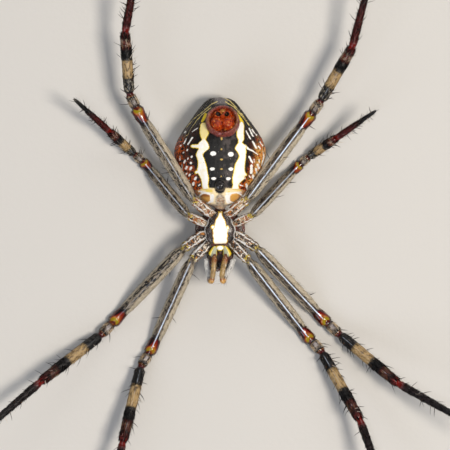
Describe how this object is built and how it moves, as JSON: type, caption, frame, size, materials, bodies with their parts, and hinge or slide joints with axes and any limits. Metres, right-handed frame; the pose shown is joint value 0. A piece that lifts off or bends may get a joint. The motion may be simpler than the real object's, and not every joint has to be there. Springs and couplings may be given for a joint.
{
  "type": "orb weaver spider",
  "caption": "Life-size still model of a female orb weaver spider lying belly up, with its legs spread in an X.",
  "frame": {"origin": "on the surface that the spider rests on, under the middle of its whole plan", "axes": "+Z out of the belly, -Y towards the head end, +X towards the spider's right side"},
  "size_m": [0.0456, 0.0524, 0.007],
  "materials": {
    "leg_cuticle": "hairy, satin",
    "abdomen_skin": "short haired, satin",
    "carapace_cuticle": "silky hair, satin",
    "mouth_cuticle": "satin",
    "dark_cuticle": "gloss",
    "spinneret_cuticle": "satin",
    "eye_lens": "gloss"
  },
  "bodies": {
    "root": {"abdomen": "abdomen_skin", "carapace": "carapace_cuticle", "sternum": "mouth_cuticle", "labium": "mouth_cuticle", "spinnerets": "spinneret_cuticle", "epigyne": "dark_cuticle", "chelicera_L": "dark_cuticle", "endite_L": "mouth_cuticle", "palp_L": "mouth_cuticle", "leg1_L_coxa": "leg_cuticle", "leg1_L_femur": "leg_cuticle", "leg1_L_patella": "leg_cuticle", "leg1_L_tibia": "leg_cuticle", "leg1_L_metatarsus": "leg_cuticle", "leg2_L_coxa": "leg_cuticle", "leg2_L_femur": "leg_cuticle", "leg2_L_patella": "leg_cuticle", "leg2_L_tibia": "leg_cuticle", "leg2_L_metatarsus": "leg_cuticle", "leg3_L_coxa": "leg_cuticle", "leg3_L_femur": "leg_cuticle", "leg3_L_patella": "leg_cuticle", "leg3_L_tibia": "leg_cuticle", "leg3_L_metatarsus": "leg_cuticle", "leg4_L_coxa": "leg_cuticle", "leg4_L_femur": "leg_cuticle", "leg4_L_patella": "leg_cuticle", "leg4_L_tibia": "leg_cuticle", "leg4_L_metatarsus": "leg_cuticle", "chelicera_R": "dark_cuticle", "endite_R": "mouth_cuticle", "palp_R": "mouth_cuticle", "leg1_R_coxa": "leg_cuticle", "leg1_R_femur": "leg_cuticle", "leg1_R_patella": "leg_cuticle", "leg1_R_tibia": "leg_cuticle", "leg1_R_metatarsus": "leg_cuticle", "leg2_R_coxa": "leg_cuticle", "leg2_R_femur": "leg_cuticle", "leg2_R_patella": "leg_cuticle", "leg2_R_tibia": "leg_cuticle", "leg2_R_metatarsus": "leg_cuticle", "leg3_R_coxa": "leg_cuticle", "leg3_R_femur": "leg_cuticle", "leg3_R_patella": "leg_cuticle", "leg3_R_tibia": "leg_cuticle", "leg3_R_metatarsus": "leg_cuticle", "leg4_R_coxa": "leg_cuticle", "leg4_R_femur": "leg_cuticle", "leg4_R_patella": "leg_cuticle", "leg4_R_tibia": "leg_cuticle", "leg4_R_metatarsus": "leg_cuticle", "anterior_median_eye_L": "eye_lens", "anterior_median_eye_R": "eye_lens", "posterior_median_eye_L": "eye_lens", "posterior_median_eye_R": "eye_lens", "anterior_lateral_eye_L": "eye_lens", "anterior_lateral_eye_R": "eye_lens", "posterior_lateral_eye_L": "eye_lens", "posterior_lateral_eye_R": "eye_lens"}
  },
  "joints": []
}
